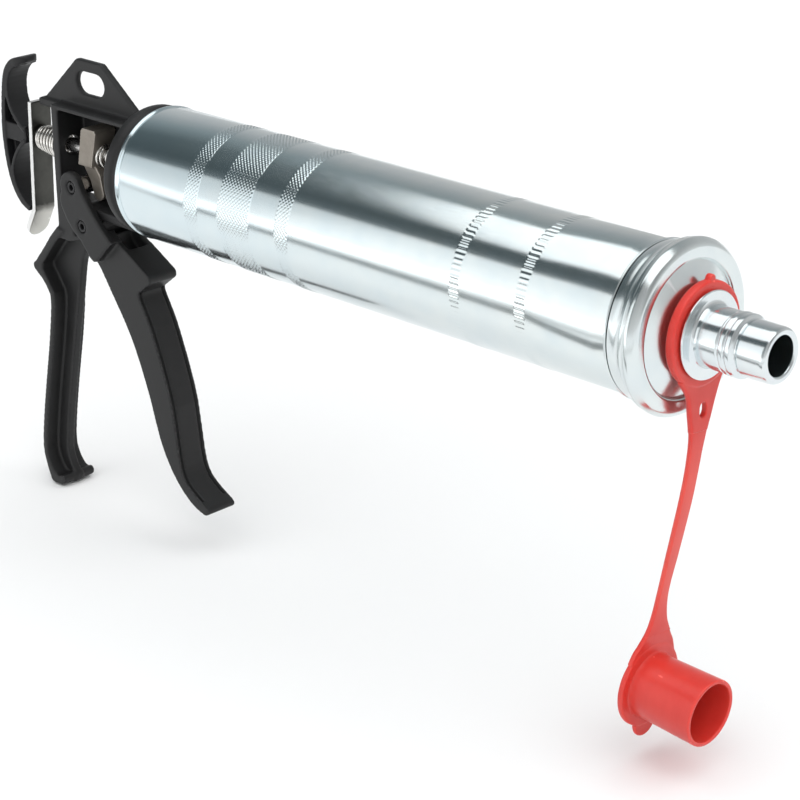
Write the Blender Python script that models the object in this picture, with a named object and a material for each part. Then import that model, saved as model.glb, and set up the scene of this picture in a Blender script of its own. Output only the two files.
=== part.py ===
"""A lever-operated cartridge gun: a steel barrel with a screw cap and a coupling plug at the front, and a
cast frame with a fixed handle, a squeeze trigger, a jam block and a release plate at the rear.

Shapes are drawn in millimetres in the barrel's own frame: the barrel's axis is the X axis, its rear rim is
at x = 0, +X runs forward to the plug and +Z is up. Everything hangs from one empty that puts the centre of
the frame's hanging hole at the world's origin.
"""

import math

import bmesh
import bpy
from mathutils import Vector

MM = 0.001
AXIS_X = Vector((1, 0, 0))
AXIS_Y = Vector((0, 1, 0))

# Driving dimensions, in millimetres.
GAP = 0.3                       # clearance kept between two pieces that touch on the real object
HANG_HOLE = (-47.0, 30.2)       # centre of the hanging hole, x and z
HANG_HOLE_LENGTH = 19.0
HANG_HOLE_HEIGHT = 10.0
TAB_HALF = 1.5
BARREL_RADIUS = 28.5
BARREL_WALL = 1.2
BARREL_LENGTH = 275.0
CAP_REAR = 267.3                # rear edge of the cap's skirt
CAP_FACE = 282.8                # flat front face of the cap's flange
CAP_RADIUS = 32.5
CAP_BORE = 14.7                 # hole in the cap's raised cone, round the plug's neck
PLUG_END = 321.3
PLUG_BORE = 7.2
COLLAR_RADIUS = 16.2
COLLAR_FACE = 291.3
ROD_RADIUS = 3.2
ROD_HOLE = 3.8                  # running holes that the rod passes through
ROD_REAR = -104.0
PISTON_REAR = 246.0
FRAME_HALF = 8.0                # half width of the cast box between the trigger's arms
CHEEK_INNER = 6.4               # inner face of the wall that closes the box's far side above the pins
WALL_REAR = -67.8
WALL_FRONT = -63.4
HANDLE_HALF = 9.0
PIVOT = (-45.8, -31.6)          # trigger's pivot pin, x and z
PUSHER = (-51.9, -15.0)         # pin that pushes the jam block, x and z
PIN_RADIUS = 2.6
JAM_HALF = 5.7
ARM_INNER = 8.6
ARM_OUTER = 12.0
TRIGGER_HALF = 7.8
PLATE_HINGE = (-86.6, 15.6)     # where the release plate's top edge rocks, x and z
PLATE_HALF = 5.5
HOOK_HALF = 5.7
HOOK_FLANGE = 2.6               # thickness of the hook's rear rim
SCOOP_WALL = 1.7
WEB_HALF = 2.1
LUG_HALF = 3.4
BUSH_RADIUS = 5.0
ROD_FIT = 0.05                  # pieces fixed on the rod
NUT_RADIUS = 6.6                # across the corners, halved
NUT_THICKNESS = 5.3
JAW_RADIUS = ROD_HOLE - 0.2     # holes that guide or grip the rod
CAST_SKIN = 0.1                 # keeps two joined faces from coinciding
GRIP_GROOVE = 1.9               # width of the groove beside the trigger's front edge
GRIP_GROOVE_SIDES = (5.5, 6.8)
CHANNEL_HALF = 5.2
PLATE_THICKNESS = 2.6
RING_RADIUS = 19.3
RING_BORE = 14.6
ROOT_THICKNESS = 2.4
ROOT_HOLE_RADIUS = 1.9
STRAP_THICKNESS = 2.0
STRAP_HINGE = (288.0, -1.5, -37.5)
CUP_HINGE = (276.0, -5.6, -118.0)
CUP_CENTRE = (274.6, -8.0, -139.1)
CUP_TILT = math.radians(3)      # how far the cup's mouth hangs below the barrel's direction
CUP_LENGTH = 29.0
CUP_RADIUS = 13.1
CUP_WALL = 1.7
DISC_RADIUS = 16.6
DISC_THICKNESS = 2.3


# ---------------------------------------------------------------- scene helpers

def clear_scene():
    for obj in list(bpy.data.objects):
        bpy.data.objects.remove(obj, do_unlink=True)


def finish_of(name, colour, roughness, metallic):
    made = bpy.data.materials.new(name)
    made.use_nodes = True
    shader = made.node_tree.nodes["Principled BSDF"]
    shader.inputs["Base Color"].default_value = (*colour, 1.0)
    shader.inputs["Roughness"].default_value = roughness
    shader.inputs["Metallic"].default_value = metallic
    return made


def empty_at(name, point, parent=None):
    """An empty at a point given in millimetres in the barrel's frame."""
    made = bpy.data.objects.new(name, None)
    bpy.context.scene.collection.objects.link(made)
    made.parent = parent
    offset = Vector(parent["at_mm"]) if parent else Vector((0, 0, 0))
    made["at_mm"] = point
    made.location = (Vector(point) - offset) * MM
    return made


def object_from(name, points, faces, parent, finish=None):
    """A mesh object from points in millimetres in the barrel's frame, with its origin at its parent's."""
    offset = Vector(parent["at_mm"])
    mesh = bpy.data.meshes.new(name)
    mesh.from_pydata([(Vector(point) - offset) * MM for point in points], [], faces)
    shell = bmesh.new()
    shell.from_mesh(mesh)
    bmesh.ops.recalc_face_normals(shell, faces=shell.faces)
    shell.to_mesh(mesh)
    shell.free()
    mesh.shade_smooth()
    mesh.set_sharp_from_angle(angle=math.radians(35))
    made = bpy.data.objects.new(name, mesh)
    bpy.context.scene.collection.objects.link(made)
    made.parent = parent
    if finish:
        mesh.materials.append(finish)
    return made


def boolean(target, other, operation):
    modifier = target.modifiers.new(f"{operation.lower()}_{other.name}", "BOOLEAN")
    modifier.operation = operation
    modifier.object = other
    other.hide_render = True
    other.display_type = "WIRE"


def cut(target, *others):
    for other in others:
        boolean(target, other, "DIFFERENCE")


def join(target, *others):
    for other in others:
        boolean(target, other, "UNION")


# ---------------------------------------------------------------- outlines

def arc(centre, radius, start, end, steps):
    """Points on an arc from start to end, in degrees, both ends included."""
    turns = [math.radians(start + (end - start) * i / steps) for i in range(steps + 1)]
    return [(centre[0] + radius * math.cos(a), centre[1] + radius * math.sin(a)) for a in turns]


def stadium(centre, length, height, steps):
    reach = (length - height) / 2
    right = arc((centre[0] + reach, centre[1]), height / 2, -90, 90, steps)
    left = arc((centre[0] - reach, centre[1]), height / 2, 90, 270, steps)
    return right + left


def smooth(points, steps):
    """A Catmull-Rom curve through the points, with so many steps between each pair."""
    ends = [points[0]] + list(points) + [points[-1]]
    curve = []
    for i in range(1, len(ends) - 2):
        a, b, c, d = (Vector(p) for p in ends[i - 1:i + 3])
        for step in range(steps):
            t = step / steps
            curve.append(0.5 * (2 * b + (c - a) * t + (2 * a - 5 * b + 4 * c - d) * t ** 2
                                + (3 * b - a - 3 * c + d) * t ** 3))
    return [tuple(p) for p in curve] + [tuple(points[-1])]


def ribbon(line, thickness):
    """A closed outline of a strip of one thickness, to the right of a line of points."""
    inner = []
    for i, point in enumerate(line):
        before = Vector(line[max(i - 1, 0)])
        after = Vector(line[min(i + 1, len(line) - 1)])
        along = (after - before).normalized()
        inner.append((point[0] - along[1] * -thickness, point[1] - along[0] * thickness))
    return list(line) + inner[::-1]


# ---------------------------------------------------------------- solids

def slab(name, outline, low, high, parent, finish=None):
    """A prism: an outline in X and Z, carried along Y from low to high."""
    points = [(x, low, z) for x, z in outline] + [(x, high, z) for x, z in outline]
    return object_from(name, points, prism_faces(len(outline)), parent, finish)


def prism_faces(count):
    """Both ends and the sides of a prism whose two outlines have so many points each."""
    faces = [list(range(count)), list(range(2 * count - 1, count - 1, -1))]
    for i in range(count):
        following = (i + 1) % count
        faces.append([following, i, i + count, following + count])
    return faces


def block(name, xs, ys, zs, parent):
    outline = [(xs[0], zs[0]), (xs[1], zs[0]), (xs[1], zs[1]), (xs[0], zs[1])]
    return slab(name, outline, ys[0], ys[1], parent)


def turned(name, profile, steps, parent, finish=None, centre=(0, 0, 0), axis=AXIS_X):
    """A solid of revolution about a line through centre along axis. The profile holds (along, radius) pairs
    round the section; it starts and ends on the axis, or else its last point joins its first."""
    turn = AXIS_X.rotation_difference(axis).to_matrix()
    rings = []
    points = []
    for along, radius in profile:
        if radius == 0:
            rings.append([len(points)] * steps)
            points.append(Vector((along, 0, 0)))
            continue
        rings.append(list(range(len(points), len(points) + steps)))
        for step in range(steps):
            angle = 2 * math.pi * step / steps
            points.append(Vector((along, radius * math.cos(angle), radius * math.sin(angle))))
    faces = []
    closes = profile[0][1] > 0 and profile[-1][1] > 0
    for i in range(len(rings) if closes else len(rings) - 1):
        here = rings[i]
        there = rings[(i + 1) % len(rings)]
        for step in range(steps):
            following = (step + 1) % steps
            face = [here[step], there[step], there[following], here[following]]
            faces.append([p for k, p in enumerate(face) if p != face[k - 1]])
    points = [turn @ point + Vector(centre) for point in points]
    return object_from(name, points, [f for f in faces if len(f) > 2], parent, finish)


def rod_between(name, start, length, radius, steps, parent, axis=AXIS_X, finish=None):
    """A plain cylinder from start along axis."""
    profile = [(0, 0), (0, radius), (length, radius), (length, 0)]
    return turned(name, profile, steps, parent, finish, centre=start, axis=axis)


def coil(name, start, radii, length, turns, wire, tilt, parent, finish, per_turn=16):
    """A compression spring along +X that rests on the rod, so it hangs a little low. The radius goes from the
    first value to the second, both end turns lie close, and the first turns lean with what they press on."""
    points = []
    count = round(turns * per_turn)
    pitch = (length - 2 * wire) / (turns - 2)
    for i in range(count + 1):
        turn = i / per_turn
        along = wire * min(turn, 1) + pitch * min(max(turn - 1, 0), turns - 2) + wire * max(turn - turns + 1, 0)
        radius = radii[0] + (radii[1] - radii[0]) * turn / turns
        angle = 2 * math.pi * turn
        height = radius * math.sin(angle)
        along += tilt * max(1 - turn / 3, 0) * height
        points.append((start + along, radius * math.cos(angle), height - 0.7))
    curve = bpy.data.curves.new(name, "CURVE")
    curve.dimensions = "3D"
    curve.bevel_depth = wire / 2 * MM
    curve.bevel_resolution = 1
    curve.use_fill_caps = True
    spline = curve.splines.new("POLY")
    spline.points.add(len(points) - 1)
    offset = Vector(parent["at_mm"])
    for target, point in zip(spline.points, points):
        target.co = (*((Vector(point) - offset) * MM), 1)
    curve.materials.append(finish)
    made = bpy.data.objects.new(name, curve)
    bpy.context.scene.collection.objects.link(made)
    made.parent = parent
    return made


# ---------------------------------------------------------------- frame

def handle_back():
    """The rear outline of the fixed handle, from the foot of the box down over the beavertail to the toe."""
    tail = smooth([(WALL_REAR, -37.0), (-73.0, -42.3), (-78.0, -48.3), (-85.6, -57.0)], 3)
    tip = arc((-85.2, -59.4), 2.3, 110, 235, 4)
    grip = smooth([(-81.6, -64.7), (-77.6, -69.4), (-76.3, -75.0), (-79.4, -94.1), (-84.0, -115.1),
                   (-87.9, -134.0), (-90.0, -149.5), (-88.4, -158.0), (-86.0, -164.2)], 3)
    toe = arc((-82.6, -163.2), 3.6, 200, 285, 4)
    return tail + tip + grip + toe


def handle_flange():
    """The handle's rear outline, closed by a line one flange thickness in front of it, and round the toe."""
    grip = smooth([(-73.6, -69.6), (-73.2, -75.6), (-76.4, -94.6), (-81.1, -115.7), (-84.9, -134.5),
                   (-87.0, -149.5), (-85.6, -156.4), (-82.4, -161.0), (-79.4, -162.3), (-77.8, -161.6)], 3)
    foot = [(-76.2, -161.7), (-75.2, -163.2), (-75.7, -165.2), (-77.6, -166.5)]
    tail = [(WALL_REAR + 4.0, -38.5), (-70.6, -45.6), (-75.6, -51.4), (-80.6, -57.4), (-80.8, -60.0),
            (-77.4, -64.2)]
    return handle_back() + foot[::-1] + grip[::-1] + tail[::-1]


def handle_web():
    """The web between the handle's rear flange and its front edge."""
    front = smooth([(-52.0, -41.0), (-58.3, -50.0), (-60.6, -56.0), (-63.4, -68.8), (-67.2, -84.5),
                    (-71.6, -105.0), (-76.2, -127.0), (-79.6, -146.0), (-79.8, -152.5), (-77.6, -158.4)], 3)
    toe = arc((-78.0, -163.6), 3.4, 40, -80, 6)
    back = [(x + 1.2, z + 0.8) for x, z in handle_back()]
    return front + toe + back[::-1]


def tab_outline():
    """The hanging tab on top of the box: a plate with a sloped back and front."""
    top = arc((-54.9, 37.85), 2.6, 131.5, 90, 3) + arc((-39.6, 37.8), 2.6, 90, 52.6, 3)
    return [(-82.0, 17.0), (-82.0, 19.1), (-79.9, 19.15)] + top + [(-15.0, 22.3), (-7.0, 17.0)]


def make_frame(parent, black):
    """The casting: tab, box, round end plate with its spigot, and the T-section handle."""
    frame = slab("frame", tab_outline(), -TAB_HALF, TAB_HALF, parent, black)
    half = (-FRAME_HALF, FRAME_HALF)
    end_plate = [(-8.0, 0), (-8.0, 27.2), (-7.2, 28.0), (-3.8, 28.0), (-3.0, 27.2), (-3.0, 26.9),
                 (9.0, 26.9), (10.0, 26.0), (10.0, 23.5), (-1.0, 23.5), (-1.0, 0)]
    pieces = [
        block("top_wall", (WALL_REAR, -7), half, (17.2, 19.4), parent),
        block("rear_wall", (WALL_REAR, WALL_FRONT), half, (-40, 19.3), parent),
        block("front_wall", (-15.0, -6.9), half, (-27.9, 19.35), parent),
        block("floor", (WALL_REAR + 0.1, -6.8), half, (-28.0, -23.6), parent),
        block("upper_lug", (-81.9, -66), (-LUG_HALF, LUG_HALF), (15.4, 19.05), parent),
        block("lower_lug", (-73.5, -66), (-LUG_HALF, LUG_HALF), (-22.0, -17.6), parent),
        turned("end_plate", end_plate, 64, parent),
        slab("far_cheek", [(WALL_REAR + 2, 17.5), (WALL_REAR + 2, -9.2), (-36.5, -9.2), (-36.5, -24.0),
                           (-14.0, -24.0), (-14.0, 17.5)], CHEEK_INNER, FRAME_HALF - CAST_SKIN, parent),
        rod_between("spring_seat", (-17.5, 0, 0), 4, 7.4, 32, parent),
        rod_between("pivot_boss", (PIVOT[0], -FRAME_HALF, PIVOT[1]), 2 * FRAME_HALF, 9.6, 36, parent, AXIS_Y),
        slab("heel", [(WALL_REAR + 0.05, -24), (-40, -24), (-40, -30), (-51.0, -39.6), (-60, -42.5),
                      (WALL_REAR + 0.05, -42.5)], *half, parent),
        slab("handle_web", handle_web(), -WEB_HALF, WEB_HALF, parent),
        slab("handle_flange", handle_flange(), -HANDLE_HALF, HANDLE_HALF, parent),
    ]
    join(frame, *pieces)
    hole = stadium(HANG_HOLE, HANG_HOLE_LENGTH, HANG_HOLE_HEIGHT, 10)
    cut(frame,
        slab("hang_hole", hole, -9, 9, parent),
        rod_between("rod_bore_rear", (-70, 0, 0), 12, ROD_HOLE + 0.4, 24, parent),
        rod_between("bush_bore", (-20, 0, 0), 30, BUSH_RADIUS + GAP, 32, parent),
        rod_between("pivot_bore", (PIVOT[0], -20, PIVOT[1]), 40, PIN_RADIUS + GAP, 24, parent, AXIS_Y),
        rod_between("drain_hole", (-55.6, -20, -37.6), 40, 1.3, 12, parent, AXIS_Y))
    return frame


def make_rod_bush(parent, bronze):
    """The flanged bush that guides the rod through the frame's front wall."""
    flange = -1.0 + GAP
    profile = [(-17.2, JAW_RADIUS), (-17.2, BUSH_RADIUS), (flange, BUSH_RADIUS), (flange, 7.0), (1.2, 7.0),
               (1.2, JAW_RADIUS)]
    return turned("rod_bush", profile, 32, parent, bronze)


# ---------------------------------------------------------------- barrel and front end

def make_barrel(parent, zinc):
    """The tube, with a rolled bead at its rear rim."""
    inner = BARREL_RADIUS - BARREL_WALL
    profile = [(0.3, inner), (0.0, inner + 0.4), (0.2, 28.5), (0.7, 28.8), (2.4, 28.8), (2.9, 28.4),
               (3.2, 28.2), (3.6, BARREL_RADIUS), (262.0, BARREL_RADIUS), (262.6, 28.2), (BARREL_LENGTH, 28.2),
               (BARREL_LENGTH, inner)]
    return turned("barrel_tube", profile, 72, parent, zinc)


def make_gasket(parent, rubber):
    """The flat ring that the barrel's front edge seals against inside the cap."""
    rear = BARREL_LENGTH + GAP
    profile = [(rear, 24.2), (rear, 28.3), (rear + 1.8, 28.3), (rear + 1.8, 24.2)]
    return turned("cap_gasket", profile, 64, parent, rubber)


def make_front_cap(parent, zinc):
    """The screw cap: a skirt that flares into a thick rounded flange, and a front that
    rises in a shallow cone round the plug."""
    outer = ([(CAP_REAR, 28.5), (CAP_REAR, 29.3), (CAP_REAR + 0.5, 29.6), (272.0, 29.9)]
             + arc((272.2, 35.2), 5.3, -88, -38, 5)
             + arc((279.2, CAP_RADIUS - 2.0), 2.0, 130, 60, 4)
             + arc((279.8, 28.9), 3.0, 55, 0, 4))
    cone = arc((CAP_FACE - 1.5, 26.8), 1.5, 0, -80, 3) + [(281.3, 25.0), (281.2, 24.5), (281.7, 23.4),
                                                          (285.0, 15.9), (285.5, CAP_BORE), (278.0, CAP_BORE),
                                                          (278.0, 12.4)]
    inside = [(275.6, 12.4), (275.6, 23.7), (277.5, 23.9), (277.5, 28.6)]
    return turned("front_cap", outer + cone + inside, 72, parent, zinc)


def make_plug(parent, zinc):
    """The turned coupling plug, with the collar that keeps the dust cap's ring on."""
    neck = RING_BORE - GAP
    profile = ([(268.0, PLUG_BORE), (268.0, 10.9), (268.8, 11.7), (278.3, 11.7), (278.3, neck), (289.8, neck),
                (289.9, COLLAR_RADIUS - 0.5), (290.4, COLLAR_RADIUS), (291.0, COLLAR_RADIUS),
                (COLLAR_FACE, COLLAR_RADIUS - 0.3), (COLLAR_FACE, 12.9)]
               + arc((293.2, 13.0), 1.8, 200, 270, 3)[1:]
               + [(301.6, 11.2), (302.0, 10.9), (302.5, 11.6), (307.5, 11.6), (308.1, 10.0), (309.2, 10.0),
                  (309.7, 10.35), (319.6, 10.2), (PLUG_END, 9.7), (PLUG_END, PLUG_BORE + 0.4),
                  (PLUG_END - 0.4, PLUG_BORE)])
    return turned("coupling_plug", profile, 48, parent, zinc)


def make_plug_nut(parent, zinc):
    """The hexagon nut that holds the plug in the cap from inside."""
    outline_radius = 17.5
    nut = turned("plug_nut", [(269.5, 0), (269.5, outline_radius), (275.3, outline_radius), (275.3, 0)], 6,
                 parent, zinc)
    cut(nut, rod_between("plug_nut_bore", (265, 0, 0), 15, 12.0, 40, parent))
    return nut


# ---------------------------------------------------------------- rod and piston

def make_rod_group(parent, steel, rubber, zinc, black):
    face = PISTON_REAR
    end = face + 16.5
    rod = [(ROD_REAR, 0), (ROD_REAR, ROD_RADIUS), (end - 0.6, ROD_RADIUS), (end, ROD_RADIUS - 0.6), (end, 0)]
    turned("push_rod", rod, 24, parent, steel)
    bore = ROD_RADIUS + ROD_FIT
    turned("piston_backing_plate", [(face, bore), (face, 22.0), (face + 2.0, 22.0), (face + 2.0, bore)], 48,
           parent, zinc)
    cup = [(face + 2.3, bore), (face + 2.3, 23.2), (face - 4.0, 26.0), (face - 4.0, 27.0), (face + 3.5, 26.9),
           (face + 5.6, 25.2), (face + 5.6, bore)]
    turned("piston_cup", cup, 64, parent, rubber)
    turned("piston_front_plate", [(face + 5.9, bore), (face + 5.9, 23.0), (face + 7.9, 22.6),
                                  (face + 7.9, bore)], 48, parent, zinc)
    for name, start in (("piston_lock_nut", face - 5.6), ("piston_nut", face + 8.2)):
        stop = start + NUT_THICKNESS
        nut = turned(name, [(start, 0), (start, NUT_RADIUS), (stop, NUT_RADIUS), (stop, 0)], 6, parent, zinc)
        cut(nut, rod_between(f"{name}_bore", (start - 5, 0, 0), 16, bore, 24, parent))
    make_hook(parent, black)


def hook_back():
    """The rear outline of the pull hook, from its upper tip round to its lower end."""
    tip = arc((-91.6, 34.0), 1.5, -70, 100, 6)
    back = smooth([(-95.0, 35.0), (-98.2, 33.8), (-101.3, 31.4), (-104.0, 27.8), (-105.9, 21.9),
                   (-107.6, 11.0), (-108.4, 0.0), (-107.6, -11.5), (-105.4, -21.6), (-102.0, -28.6),
                   (-97.4, -33.4), (-92.2, -35.7)], 2)
    return tip + back


def hook_scoops():
    """The two finger scoops on the hook's front, the upper one from the tip down to the boss."""
    upper = smooth([(-93.4, 31.2), (-96.0, 30.5), (-98.6, 28.6), (-101.1, 24.8), (-102.2, 19.2),
                    (-101.5, 13.8), (-98.9, 9.0), (-94.8, 5.0), (-91.6, 3.0)], 2)
    lower = smooth([(-91.6, -3.6), (-96.2, -7.4), (-100.4, -13.4), (-101.9, -18.1), (-101.3, -22.9),
                    (-98.4, -28.0), (-94.8, -31.4), (-92.2, -33.0)], 2)
    return upper, lower


def make_hook(parent, black):
    """The moulded finger hook on the rod's rear end: a thin web, edged all round by a wide flange, with a
    boss across the middle that takes the rod."""
    upper, lower = hook_scoops()
    outline = hook_back() + lower[::-1] + upper[::-1]
    tip = hook_back()[:9] + [(-97.4, 30.4), (-95.0, 31.6)]
    tip_half = HOOK_HALF - 0.02
    scoop_half = HOOK_HALF - 0.05
    hook = slab("pull_hook", outline, -1.0, 1.0, parent, black)
    join(hook,
         slab("hook_flange", ribbon(hook_back()[:5:-1], HOOK_FLANGE), -HOOK_HALF, HOOK_HALF, parent),
         slab("hook_tip", tip, -tip_half, tip_half, parent),
         slab("upper_scoop", ribbon(upper, SCOOP_WALL), -scoop_half, scoop_half, parent),
         slab("lower_scoop", ribbon(lower, SCOOP_WALL), -scoop_half, scoop_half, parent),
         block("hook_boss", (-106.5, -91.5), (-5.1, 5.1), (-4.1, 3.9), parent))
    cut(hook,
        rod_between("hook_bore", (ROD_REAR - GAP, 0, 0), 20, ROD_RADIUS + ROD_FIT, 24, parent),
        corner_cutter("tip_round", Vector((-89.9, 0, 33.5)), Vector((1, 0, 0)), HOOK_HALF, 10, parent))
    return hook


# ---------------------------------------------------------------- mechanism

def make_jam_block(parent, sintered):
    """The thick block that grips the rod; its tongue hangs in front of the pusher."""
    head = [(-50.1, 10.0), (-49.0, 11.4), (-41.0, 11.4), (-40.0, 10.1), (-44.0, -5.9), (-53.3, -5.9)]
    tongue = ([(-46.5, 4.0), (-42.8, 0.0), (-43.8, -5.0), (-40.4, -9.4), (-38.8, -17.2)]
              + arc((-42.3, -17.2), 3.5, 0, -180, 8)[1:] + [(-47.4, -12.4), (-52.3, -5.4), (-50.0, 2.0)])
    jam_block = slab("jam_block", head, -JAM_HALF, JAM_HALF, parent, sintered)
    join(jam_block, slab("tongue", tongue, -4.0, 4.0, parent))
    cut(jam_block, rod_between("jam_block_bore", (-60, 0, 0), 30, JAW_RADIUS, 32, parent))
    return jam_block


def arm_outline():
    """One arm of the trigger's fork, from its round top to the step where the grip begins."""
    top = arc((-52.6, -14.9), 6.9, 15, 205, 10)
    left = smooth([(-60.2, -20.5), (-59.6, -24.8), (-55.6, -31.2), (-51.0, -35.9), (-46.9, -38.6),
                   (-41.4, -44.9)], 2)
    right = smooth([(-25.6, -35.2), (-33.6, -28.4), (-39.8, -21.6), (-44.2, -16.4)], 2)
    return top + left + [(-38.8, -46.4), (-36.6, -45.9)] + right


def grip_front():
    """The trigger's front edge, from the toe up to the horn."""
    return smooth([(22.0, -144.8), (15.4, -140.9), (10.8, -136.0), (8.4, -127.0), (5.4, -105.4),
                   (1.4, -91.6), (-1.8, -82.6), (-6.5, -70.9), (-11.0, -62.6), (-13.4, -58.4),
                   (-13.6, -56.0)], 2)


def grip_outline():
    back = smooth([(-42.0, -47.6), (-39.5, -50.0), (-33.3, -59.0), (-27.1, -67.8), (-20.9, -77.5),
                   (-15.1, -89.7), (-9.4, -104.8), (-3.9, -122.5), (3.0, -135.2), (10.8, -143.8),
                   (18.0, -148.6), (24.6, -150.6)], 2)
    toe = arc((25.2, -148.4), 1.8, -60, 75, 4)
    horn = arc((-7.9, -48.6), 2.6, -75, 60, 5)
    return back + toe + grip_front() + horn + [(-14.5, -41.9), (-21.0, -38.3), (-27.0, -35.5), (-33.0, -33.6)]


def make_trigger(parent, black):
    """The cast lever: a fork whose arms straddle the box, and a grip with an open channel at its top."""
    trigger = slab("trigger", grip_outline(), -TRIGGER_HALF, TRIGGER_HALF, parent, black)
    bridge = [(-41.6, -44.8), (-38.8, -46.3), (-36.7, -45.8), (-25.9, -35.2), (-31.0, -31.2), (-33.5, -36.0),
              (-37.0, -41.5)]
    join(trigger,
         slab("arm_near", arm_outline(), -ARM_OUTER, -ARM_INNER, parent),
         slab("arm_far", arm_outline(), ARM_INNER, ARM_OUTER, parent),
         slab("bridge", bridge, -ARM_OUTER + CAST_SKIN, ARM_OUTER - CAST_SKIN, parent))
    channel = [(-33.0, -30.0), (-31.5, -38.0), (-27.0, -42.5), (-21.5, -40.5), (-21.5, -30.0)]
    edge = ribbon([(x + 0.4, z) for x, z in grip_front()[::-1]], GRIP_GROOVE)
    near, far = GRIP_GROOVE_SIDES
    cut(trigger,
        slab("channel", channel, -CHANNEL_HALF, CHANNEL_HALF, parent),
        slab("grip_groove_near", edge, -far, -near, parent),
        slab("grip_groove_far", edge, near, far, parent),
        rod_between("pivot_eye", (PIVOT[0], -20, PIVOT[1]), 40, PIN_RADIUS + GAP, 24, parent, AXIS_Y),
        rod_between("pusher_eye", (PUSHER[0], -20, PUSHER[1]), 40, PIN_RADIUS + GAP, 24, parent, AXIS_Y))
    return trigger


def make_roll_pin(name, centre, parent, black):
    """A blackened rolled spring pin along Y, with the slit that its rolled edge leaves."""
    half = ARM_OUTER - 0.4
    profile = [(-half, 1.3), (-half, PIN_RADIUS - 0.4), (-half + 0.4, PIN_RADIUS), (half - 0.4, PIN_RADIUS),
               (half, PIN_RADIUS - 0.4), (half, 1.3)]
    pin = turned(name, profile, 20, parent, black, centre=(centre[0], 0, centre[1]), axis=AXIS_Y)
    slit = block(f"{name}_slit", (centre[0] - 0.3, centre[0] + 0.3), (-20, 20), (centre[1], centre[1] + 5),
                 parent)
    cut(pin, slit)
    return pin


def make_pusher_sleeve(parent, steel):
    """The hard sleeve on the pusher pin that bears on the jam block's tongue."""
    bore = PIN_RADIUS + GAP
    profile = [(-7.8, bore), (-7.8, 3.7), (-7.4, 4.1), (7.4, 4.1), (7.8, 3.7), (7.8, bore)]
    return turned("pusher_sleeve", profile, 28, parent, steel, centre=(PUSHER[0], 0, PUSHER[1]), axis=AXIS_Y)


def make_release_plate(parent, zinc):
    """The bent steel strip that stops the rod from running back, with its thumb tab below."""
    front = [(-85.2, 16.2), (-85.5, 8.0), (-86.2, -8.0), (-87.0, -26.0), (-87.4, -34.6), (-91.2, -41.4),
             (-95.3, -48.9)]
    plate = slab("release_plate", ribbon(front, PLATE_THICKNESS), -PLATE_HALF, PLATE_HALF, parent, zinc)
    cut(plate, rod_between("release_bore", (-100, 0, 0), 20, ROD_HOLE, 28, parent))
    tab_end = Vector((-96.3, 0, -48.2))
    tab_along = Vector((-3.6, 0, -6.6)).normalized()
    cut(plate, corner_cutter("thumb_round", tab_end, tab_along, PLATE_HALF, 8, parent))
    return plate


def corner_cutter(name, end, along, half, depth, parent):
    """What a strip loses to a half-round end: a prism square to the strip's face, with a round bite."""
    across = Vector((0, 1, 0))
    through = along.cross(across)
    start = end - along * half
    bite = arc((0, 0), half, -90, 90, 14)
    outline = bite + [(0, half + 3), (half + 6, half + 3), (half + 6, -half - 3), (0, -half - 3)]
    points = [start + along * a + across * b + through * side for side in (-depth, depth) for a, b in outline]
    return object_from(name, points, prism_faces(len(outline)), parent)


# ---------------------------------------------------------------- dust cap

def make_ring(parent, red):
    """The ring round the plug's neck, with the strap's root below it and a moulding nub on top."""
    profile = [(286.2, RING_BORE), (286.2, 18.8), (286.7, RING_RADIUS), (289.0, RING_RADIUS), (289.6, 18.6),
               (289.6, RING_BORE)]
    ring = turned("dust_cap_ring", profile, 56, parent, red)
    join(ring,
         strip("ring_root", [((287.9, 0.2, -14.9), 13.2), ((287.9, 0.2, -17.6), 11.0), ((287.9, 0.2, -21.0), 8.9),
                             ((287.9, -0.1, -25.0), 7.6), ((287.9, -0.6, -29.5), 6.5),
                             ((288.0, -1.1, -33.5), 5.4), ((288.0, -1.4, -36.4), 4.7)], ROOT_THICKNESS, parent),
         block("ring_nub", (286.6, 289.2), (1.2, 4.2), (17.0, 21.0), parent))
    cut(ring,
        rod_between("root_hole_upper", (280, 0.2, -27.4), 20, ROOT_HOLE_RADIUS, 20, parent),
        rod_between("root_hole_lower", (280, 0.0, -29.4), 20, ROOT_HOLE_RADIUS, 20, parent))
    return ring


def strip(name, stations, thickness, parent, finish=None):
    """A flat strip whose faces look along X: stations hold a centre and a half width."""
    points = []
    for i, (centre, half) in enumerate(stations):
        before = Vector(stations[max(i - 1, 0)][0])
        after = Vector(stations[min(i + 1, len(stations) - 1)][0])
        along = (after - before).normalized()
        across = Vector((0, 1, 0))
        across = (across - along * across.dot(along)).normalized()
        out = across.cross(along) * -1
        if out.x < 0:
            out = -out
        for side, face in ((-1, -1), (1, -1), (1, 1), (-1, 1)):
            points.append(Vector(centre) + across * side * half + out * face * thickness / 2)
    faces = [[0, 1, 2, 3]]
    for i in range(len(stations) - 1):
        base = 4 * i
        for k in range(4):
            following = (k + 1) % 4
            faces.append([base + following, base + k, base + 4 + k, base + 4 + following])
    last = 4 * (len(stations) - 1)
    faces.append([last + 3, last + 2, last + 1, last])
    return object_from(name, points, faces, parent, finish)


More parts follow.
